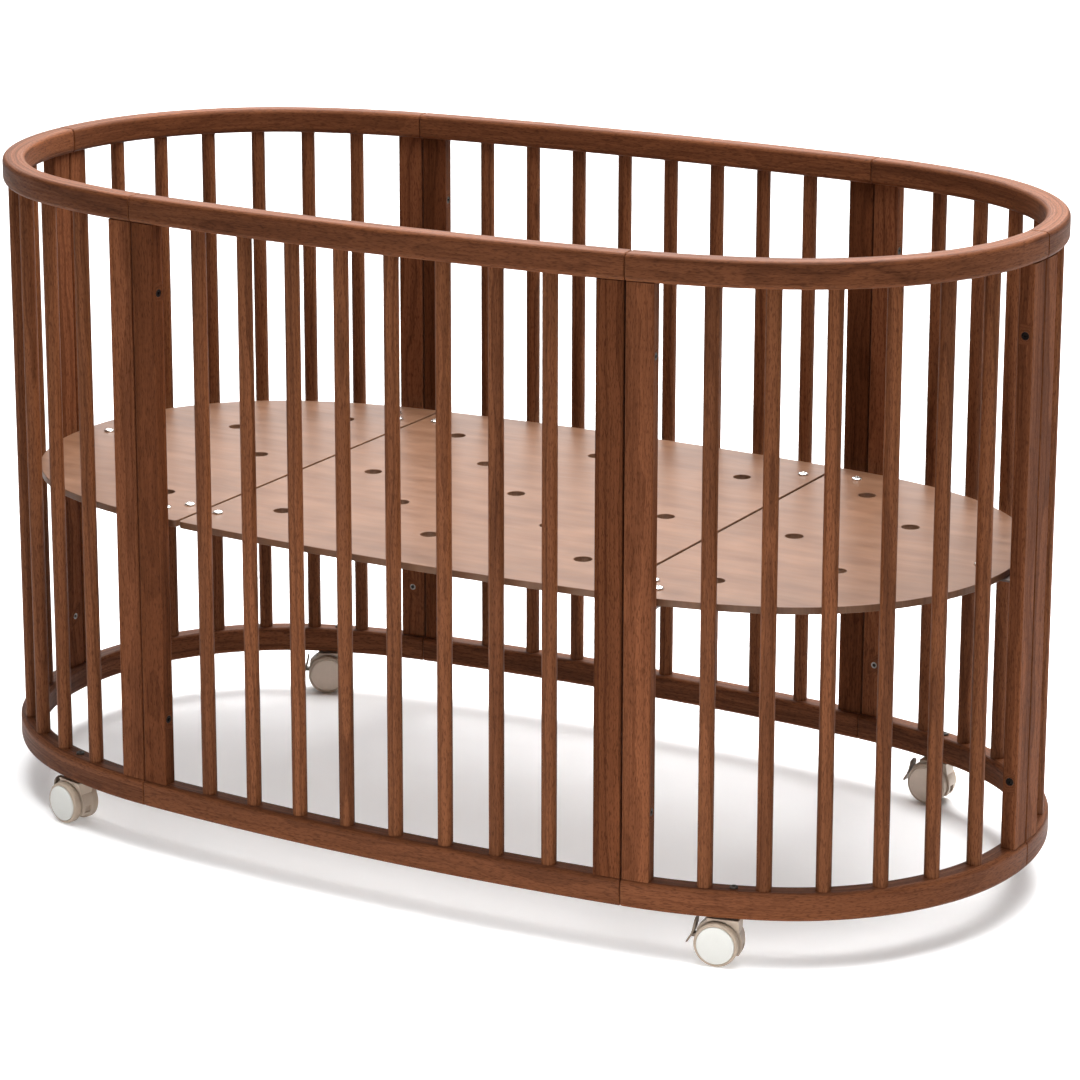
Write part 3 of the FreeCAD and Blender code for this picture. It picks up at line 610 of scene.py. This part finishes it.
def cap_profile():
    """A wheel disc's section, its face slightly domed and its rim rounded."""
    rim_y = DISC_FACE_Y - 0.0014
    profile = [(0.0004, WHEEL_INNER_Y), (DISC_RADIUS, WHEEL_INNER_Y), (DISC_RADIUS, rim_y)]
    profile += arc_profile((DISC_RADIUS - DISC_RIM_EASE, rim_y), DISC_RIM_EASE, 10, 80)
    for share in (0.88, 0.7, 0.5, 0.3, 0.1, 0.02):
        profile.append((DISC_RADIUS * share, DISC_FACE_Y - 0.0004 * share ** 2))
    return profile


def make_wheels(place, matrix):
    """Both wheels of a caster. The cap on the side away from the crib is white."""
    white_side = 1 if place.startswith("front") else -1
    hub = Vector((CASTER_TRAIL, 0, TYRE_RADIUS))
    for side, label in ((1, "a"), (-1, "b")):
        outer = side == white_side
        cap = ("cap", cap_profile(), cap_white if outer else taupe_cap,
               "caster_white" if outer else "caster_taupe", "outer_wheel" if outer else "inner_wheel")
        tyre = ("tyre", tyre_profile(), tyre_rubber, "caster_tyre", "tyres")
        for kind, profile, material, slot, cad_node in (cap, tyre):
            name = f"caster_{place}_{kind}_{label}"
            mesh = lathe(name, profile, hub, Vector((0, side, 0)), 96, closed=kind == "tyre")
            mesh.transform(matrix)
            obj = new_object(name, mesh)
            mesh.materials.append(material)
            shade(obj, 50)
            place_piece(obj, f"caster_{place}_rolling", slot, [f"caster_{place}_{cad_node}"])


# ---------------------------------------------------------------- material helpers

def node(tree, kind, inputs=None, **settings):
    """Adds a shader node. An input takes a constant or another node's output."""
    made = tree.nodes.new(kind)
    for key, value in settings.items():
        setattr(made, key, value)
    for key, value in (inputs or {}).items():
        if isinstance(value, bpy.types.NodeSocket):
            tree.links.new(value, made.inputs[key])
        else:
            made.inputs[key].default_value = value
    return made


def vector_math(tree, operation, first, second):
    return node(tree, "ShaderNodeVectorMath", {0: first, 1: second}, operation=operation).outputs[0]


def stretch(tree, vector, factors):
    """The vector with each of its axes scaled."""
    return vector_math(tree, "MULTIPLY", vector, factors)


def noise(tree, vector, scale=1.0, detail=2.0, roughness=0.5, output="Fac"):
    """Soft noise over a place: a value, or three with output Color."""
    inputs = {"Vector": vector, "Scale": scale, "Detail": detail, "Roughness": roughness}
    return node(tree, "ShaderNodeTexNoise", inputs).outputs[output]


def shifted(tree, place, wander_scale, detail, reach):
    """The place pushed about by noise, up to half of reach each way along each axis."""
    wander = noise(tree, stretch(tree, place, wander_scale), detail=detail, output="Color")
    centred = vector_math(tree, "SUBTRACT", wander, (0.5, 0.5, 0.5))
    return vector_math(tree, "ADD", place, stretch(tree, centred, reach))


def calc(tree, operation, first, second=0.5):
    return node(tree, "ShaderNodeMath", {0: first, 1: second}, operation=operation).outputs[0]


def fit(tree, value, low, high, new_low, new_high):
    """The value moved from one range to another, held inside it."""
    made = node(tree, "ShaderNodeMapRange", {"Value": value, "From Min": low, "From Max": high,
                                             "To Min": new_low, "To Max": new_high})
    return made.outputs["Result"]


def ramp(tree, value, stops):
    """A colour ramp of (position, (r, g, b)) stops."""
    made = node(tree, "ShaderNodeValToRGB", {"Fac": value})
    elements = made.color_ramp.elements
    while len(elements) < len(stops):
        elements.new(0.5)
    for element, (position, colour) in zip(elements, stops):
        element.position = position
        element.color = (*colour, 1)
    return made.outputs["Color"]


def blend(tree, factor, first, second):
    """One colour laid over another by a factor. A colour mix has its sockets at these numbers."""
    made = node(tree, "ShaderNodeMix", {0: factor, 6: first, 7: second}, data_type="RGBA")
    return made.outputs[2]


def tone(tree, colour, value):
    """The colour made lighter or darker by a factor that changes over the surface."""
    inputs = {0: colour, "Scale": value}
    return node(tree, "ShaderNodeVectorMath", inputs, operation="SCALE").outputs[0]


def bump(tree, height, distance, strength):
    inputs = {"Height": height, "Distance": distance, "Strength": strength}
    return node(tree, "ShaderNodeBump", inputs).outputs["Normal"]


def new_material(name, **constants):
    """A material and its node tree, with constants set on its principled shader."""
    material = bpy.data.materials.new(name)
    material.use_nodes = True
    surface = material.node_tree.nodes["Principled BSDF"]
    for key, value in constants.items():
        surface.inputs[key.replace("_", " ")].default_value = value
    return material, material.node_tree, surface.inputs


def object_space(tree):
    return node(tree, "ShaderNodeTexCoord").outputs["Object"]


def grain_space(tree):
    """The place in the tree that each point of a wooden piece was sawn from."""
    return node(tree, "ShaderNodeAttribute", attribute_name="grain").outputs["Vector"]


# ---------------------------------------------------------------- materials

RINGS_PER_METRE = 260.0
ZONES_PER_METRE = 75.0
PLY_COUNT = 5


def make_wood(name, early, late, tone_range, specular):
    """Stained beech: growth rings, fibre, short dark flecks and slow changes of tone."""
    material, tree, surface = new_material(name, Specular_IOR_Level=specular)
    grain = grain_space(tree)
    # rings round the tree's middle, pushed about by a slow wander along the board
    moved = shifted(tree, grain, (7.0, 17, 17), 2.5, (0, 0.016, 0.016))
    across = stretch(tree, moved, (0, 1, 1))
    radius = node(tree, "ShaderNodeVectorMath", {0: across}, operation="LENGTH").outputs["Value"]
    rings = calc(tree, "FRACT", calc(tree, "MULTIPLY", radius, RINGS_PER_METRE))
    stops = [(0.0, (0.0,) * 3), (0.62, (0.25,) * 3), (0.93, (1.0,) * 3), (1.0, (0.1,) * 3)]
    ring_line = ramp(tree, rings, stops)
    # wide zones that follow the rings, a few years of slower or faster growth
    zone_at = calc(tree, "MULTIPLY", radius, ZONES_PER_METRE)
    zone = noise(tree, node(tree, "ShaderNodeCombineXYZ", {"X": zone_at}).outputs[0], detail=1.0)
    fibre = noise(tree, stretch(tree, grain, (9, 420, 420)), detail=4.0, roughness=0.65)
    fleck = noise(tree, stretch(tree, grain, (140, 1050, 1050)), detail=1.0)
    fleck_dark = fit(tree, fleck, 0.53, 0.64, 0.0, 1.0)
    cloud = noise(tree, stretch(tree, grain, (2.2, 22, 22)), detail=3.0)
    # how much of the late wood's dark colour shows
    amount = calc(tree, "MULTIPLY", ring_line, 0.34)
    amount = calc(tree, "ADD", amount, fit(tree, zone, 0.48, 0.54, -0.11, 0.20))
    amount = calc(tree, "ADD", amount, fit(tree, fibre, 0.34, 0.66, -0.16, 0.36))
    amount = calc(tree, "MAXIMUM", calc(tree, "MINIMUM", amount, 1.0), 0.0)
    colour = blend(tree, amount, (*early, 1), (*late, 1))
    colour = tone(tree, colour, fit(tree, cloud, 0.28, 0.72, *tone_range))
    colour = tone(tree, colour, fit(tree, zone, 0.485, 0.525, 1.06, 0.94))
    fleck_colour = (late[0] * 0.42, late[1] * 0.36, late[2] * 0.34, 1)
    colour = blend(tree, calc(tree, "MULTIPLY", fleck_dark, 0.46), colour, fleck_colour)
    tree.links.new(colour, surface["Base Color"])
    tree.links.new(fit(tree, fibre, 0.3, 0.7, 0.46, 0.60), surface["Roughness"])
    ridge, pit = calc(tree, "MULTIPLY", fibre, 0.5), calc(tree, "MULTIPLY", fleck_dark, 0.8)
    height = calc(tree, "SUBTRACT", ridge, pit)
    tree.links.new(bump(tree, height, 0.00012, 0.55), surface["Normal"])
    return material


def make_board_face():
    """Sliced veneer: soft streaks along the base, cloudy figure, and a satin lacquer."""
    material, tree, surface = new_material("board_face", Specular_IOR_Level=0.10)
    grain = grain_space(tree)
    moved = shifted(tree, grain, (5, 9, 1), 2.0, (0.02, 0.03, 0))
    figure = noise(tree, stretch(tree, moved, (9, 52, 1)), detail=3.0, roughness=0.55)
    streak = noise(tree, stretch(tree, moved, (24, 420, 1)), detail=3.0, roughness=0.6)
    mottle = noise(tree, stretch(tree, grain, (22, 16, 1)), detail=2.0)
    fleck = noise(tree, stretch(tree, grain, (240, 1300, 1)), detail=0.0)
    colour = ramp(tree, figure, [(0.30, (0.098, 0.046, 0.025)), (0.48, (0.119, 0.059, 0.033)),
                                 (0.66, (0.140, 0.072, 0.042))])
    colour = tone(tree, colour, fit(tree, streak, 0.3, 0.7, 0.87, 1.12))
    colour = tone(tree, colour, fit(tree, mottle, 0.3, 0.7, 0.92, 1.08))
    colour = blend(tree, fit(tree, fleck, 0.60, 0.72, 0.0, 0.16), colour, (0.12, 0.042, 0.022, 1))
    tree.links.new(colour, surface["Base Color"])
    tree.links.new(fit(tree, streak, 0.3, 0.7, 0.30, 0.38), surface["Roughness"])
    tree.links.new(bump(tree, streak, 0.00006, 0.5), surface["Normal"])
    return material


def make_board_edge():
    """The cut edge of the plywood: plies in turn along and across the grain, coloured dark, partly real
    stain and partly painted shade.
    """
    material, tree, surface = new_material("board_edge", Specular_IOR_Level=0.05)
    place = object_space(tree)
    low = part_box("base_board_middle")[0].z
    level = node(tree, "ShaderNodeSeparateXYZ", {0: place}).outputs["Z"]
    ply = calc(tree, "DIVIDE", calc(tree, "SUBTRACT", level, low), board_top - low)
    rough = noise(tree, stretch(tree, place, (60, 60, 900)), detail=2.0)
    ply = calc(tree, "ADD", ply, fit(tree, rough, 0.3, 0.7, -0.02, 0.02))
    # dark ply colours: real stain, darkened further as painted shade of the board's edge
    along, across = (0.095, 0.034, 0.017), (0.014, 0.005, 0.003)
    stops = []
    for k in range(PLY_COUNT):
        stain_and_shade = along if k % 2 == 0 else across
        stops += [(k / PLY_COUNT + 0.02, stain_and_shade), ((k + 1) / PLY_COUNT - 0.02, stain_and_shade)]
    colour = ramp(tree, ply, stops)
    fibre = noise(tree, stretch(tree, place, (700, 700, 1500)), detail=2.0)
    colour = tone(tree, colour, fit(tree, fibre, 0.3, 0.7, 0.75, 1.2))
    tree.links.new(colour, surface["Base Color"])
    tree.links.new(fit(tree, fibre, 0.3, 0.7, 0.5, 0.7), surface["Roughness"])
    tree.links.new(bump(tree, fibre, 0.0001, 0.5), surface["Normal"])
    return material


def make_metal(name, colour, roughness, grain_scale, spots):
    """Plated steel with faint drawn lines, small handling marks and uneven plating."""
    material, tree, surface = new_material(name, Metallic=1.0)
    place = object_space(tree)
    lines = noise(tree, stretch(tree, place, grain_scale), detail=3.0)
    marks = noise(tree, place, scale=900.0, detail=2.0)
    base = ramp(tree, marks, [(0.35, tuple(c * spots for c in colour)), (0.55, colour)])
    base = tone(tree, base, fit(tree, lines, 0.3, 0.7, 0.92, 1.04))
    tree.links.new(base, surface["Base Color"])
    tree.links.new(fit(tree, marks, 0.3, 0.7, roughness * 1.35, roughness * 0.8), surface["Roughness"])
    tree.links.new(bump(tree, lines, 0.00002, 0.4), surface["Normal"])
    return material


def make_plastic(name, colour, roughness, variation, grain_depth, specular=0.4):
    """Moulded plastic with a fine spark-eroded texture, dust in the grain and rubbed patches."""
    material, tree, surface = new_material(name, Specular_IOR_Level=specular)
    place = object_space(tree)
    spark = noise(tree, place, scale=2600.0, detail=2.0)
    patch = noise(tree, place, scale=55.0, detail=4.0, roughness=0.6)
    scuff = noise(tree, stretch(tree, place, (900, 900, 160)), detail=2.0)
    base = ramp(tree, patch, [(0.3, tuple(c * (1 - variation) for c in colour)), (0.7, colour)])
    base = tone(tree, base, fit(tree, spark, 0.3, 0.7, 1 - variation / 2, 1 + variation / 2))
    base = tone(tree, base, fit(tree, scuff, 0.62, 0.72, 1.0, 1 + variation))
    tree.links.new(base, surface["Base Color"])
    tree.links.new(fit(tree, patch, 0.3, 0.7, roughness * 0.85, roughness * 1.15), surface["Roughness"])
    tree.links.new(bump(tree, spark, grain_depth, 0.5), surface["Normal"])
    return material


rail_wood = make_wood("rail_wood", (0.128, 0.044, 0.0175), (0.045, 0.0130, 0.0046), (0.84, 1.14), 0.05)
post_wood = make_wood("post_wood", (0.142, 0.050, 0.0215), (0.053, 0.016, 0.0064), (0.82, 1.18), 0.012)
# a darker copy of post_wood: painted shade for the side panels' posts
shaded_side_post_wood = make_wood("shaded_side_post_wood", (0.100, 0.033, 0.0132), (0.038, 0.011, 0.0040),
                           (0.82, 1.18), 0.012)
spindle_wood = make_wood("spindle_wood", (0.148, 0.053, 0.0215), (0.056, 0.0175, 0.0068), (0.82, 1.16), 0.04)
board_face = make_board_face()
board_edge = make_board_edge()
nickel = make_metal("bright_nickel", (0.80, 0.79, 0.76), 0.24, (400, 400, 3000), 0.9)
# plated steel kept darker than its bright plating: partly painted shade of the holes and nooks its parts sit
# in
shaded_zinc = make_metal("plated_steel", (0.30, 0.275, 0.25), 0.38, (300, 300, 2200), 0.8)
# near-black steel for heads sunk in holes: painted shade of the recess
recess_shade_steel = make_plastic("recess_shade_steel", (0.042, 0.033, 0.025), 0.50, 0.20, 0.00003, 0.15)
black_steel = make_metal("black_steel", (0.020, 0.017, 0.015), 0.46, (300, 300, 2200), 0.6)
powder = make_plastic("dark_steel", (0.090, 0.060, 0.050), 0.48, 0.16, 0.00006)
taupe = make_plastic("caster_taupe", (0.420, 0.335, 0.262), 0.46, 0.10, 0.00003)
taupe_cap = make_plastic("caster_taupe_cap", (0.580, 0.475, 0.385), 0.46, 0.08, 0.00003)
# the tyres are a little darker than the hood's taupe: a little painted shade
tyre_rubber = make_plastic("caster_tyre", (0.400, 0.315, 0.240), 0.55, 0.12, 0.00005)
cap_white = make_plastic("caster_white", (0.600, 0.595, 0.560), 0.36, 0.03, 0.00001)
# the brake's brown, darker than the hood's taupe, is partly painted shade of its hollow inner face
brake_shaded_brown = make_plastic("caster_brown", (0.200, 0.150, 0.105), 0.48, 0.14, 0.00003)
slot_materials = {
    "walnut_beech": rail_wood,
    "stained_plywood": board_face,
    "plated_steel": shaded_zinc,
    "black_steel": black_steel,
    "bright_nickel": nickel,
    "dark_steel": powder,
    "caster_taupe": taupe,
    "caster_tyre": tyre_rubber,
    "caster_white": cap_white,
    "caster_brown": brake_shaded_brown,
}
# dark rather than bright where a head sits down in the wood: painted shade of the recess
node_materials = {"sleeve_nuts": recess_shade_steel, "caster_screws": recess_shade_steel}


# ---------------------------------------------------------------- assembly

for entry in frame["record"]["subparts"]:
    cad_node = frame["nodes"][entry["node"]]
    cad_node.data.materials.clear()
    slot = entry["material_slot"]
    cad_node.data.materials.append(node_materials.get(entry["node"], slot_materials[slot]))

make_panels()
for index, place in enumerate(("left", "middle", "right")):
    make_board(place, 700 + index)
make_board_bolts()
for place in CASTER_HEADINGS:
    make_wheels(place, caster_matrix(place))


# ---------------------------------------------------------------- studio

# name, position, aim, (width, height), power
STUDIO_LIGHTS = (
    ("key", (0.2, 0.6, 3.0), (0, 0.2, 0), (3.2, 3.2), 350.0),
    ("far", (-4.0, 8.0, 5.0), (-4, 8, 0), (9.0, 9.0), 1500.0),
    ("fill", (4.5, -1.6, 2.2), (0, 0, 0.4), (2.5, 2.5), 10.0),
    ("apron", (0.35, -1.15, 0.14), (0.1, -0.1, 0.08), (1.5, 0.22), 4.8),
)
# the floor glows in a patch in front of the crib and fades to nothing round it
GLOW_CENTRE = (0.15, -0.95, 0.0)
GLOW_REACH = (0.2, 1.2)
GLOW_LEVEL = 0.80
# the sky is brightest towards the back of the studio
BACK_OF_STUDIO = (-0.25, 0.84, 0.47)
WORLD_LEVELS = (0.04, 0.62)
FLOOR_REACH = 30.0
CAMERA_PLACE = (2.1569, -3.7756, 1.6275)
CAMERA_AZIMUTH = math.radians(29.353)
CAMERA_ELEVATION = math.radians(14.085)
CAMERA_ROLL = 0.0018
CAMERA_LENS = 121.7
CAMERA_SHIFT_Y = -0.1296


def make_floor():
    """Matt white studio floor with the faintest mottling and a glowing patch."""
    material, tree, surface = new_material("studio_floor", Specular_IOR_Level=0.15, Roughness=0.9)
    surface["Emission Color"].default_value = (1, 1, 1, 1)
    place = object_space(tree)
    from_centre = node(tree, "ShaderNodeVectorMath", {0: place, 1: GLOW_CENTRE}, operation="DISTANCE")
    glow = fit(tree, from_centre.outputs["Value"], *GLOW_REACH, GLOW_LEVEL, 0.0)
    tree.links.new(glow, surface["Emission Strength"])
    cloud = noise(tree, place, scale=1.3, detail=3.0)
    white = ramp(tree, cloud, [(0.3, (0.86, 0.86, 0.865)), (0.7, (0.88, 0.88, 0.885))])
    tree.links.new(white, surface["Base Color"])
    return material


def make_stage():
    """A wide pale floor under four soft lamps."""
    reach = FLOOR_REACH
    mesh = bpy.data.meshes.new("studio_floor")
    corners = [(-reach, -reach, 0), (reach, -reach, 0), (reach, reach, 0), (-reach, reach, 0)]
    mesh.from_pydata(corners, [], [(0, 1, 2, 3)])
    floor = new_object("studio_floor", mesh)
    mesh.materials.append(make_floor())
    for name, position, aim, size, power in STUDIO_LIGHTS:
        light = bpy.data.lights.new(name, "AREA")
        light.shape = "RECTANGLE"
        light.size, light.size_y = size
        light.energy = power
        lamp = bpy.data.objects.new(name, light)
        bpy.context.scene.collection.objects.link(lamp)
        lamp.visible_camera = False
        lamp.location = position
        lamp.rotation_euler = (Vector(aim) - Vector(position)).to_track_quat("-Z", "Y").to_euler()


def make_world():
    """Even sky light, brighter towards the back of the studio than from behind the camera."""
    world = bpy.data.worlds.new("studio")
    bpy.context.scene.world = world
    world.use_nodes = True
    tree = world.node_tree
    direction = node(tree, "ShaderNodeTexCoord").outputs["Generated"]
    facing = node(tree, "ShaderNodeVectorMath", {0: direction, 1: BACK_OF_STUDIO}, operation="DOT_PRODUCT")
    level = fit(tree, facing.outputs["Value"], 0.0, 1.0, *WORLD_LEVELS)
    tree.links.new(level, tree.nodes["Background"].inputs["Color"])


def make_camera():
    """A long lens from the front right, a little above the top rail."""
    data = bpy.data.cameras.new("camera")
    data.lens = CAMERA_LENS
    data.sensor_width = 36
    data.shift_y = CAMERA_SHIFT_Y
    data.clip_end = 100
    camera = bpy.data.objects.new("camera", data)
    bpy.context.scene.collection.objects.link(camera)
    level = math.cos(CAMERA_ELEVATION)
    aim = Vector((-math.sin(CAMERA_AZIMUTH) * level, math.cos(CAMERA_AZIMUTH) * level,
                  -math.sin(CAMERA_ELEVATION)))
    camera.rotation_mode = "QUATERNION"
    camera.rotation_quaternion = aim.to_track_quat("-Z", "Y") @ Quaternion((0, 0, 1), CAMERA_ROLL)
    camera.location = CAMERA_PLACE
    bpy.context.scene.camera = camera


make_stage()
make_world()
make_camera()
bpy.context.scene.view_settings.view_transform = "Standard"
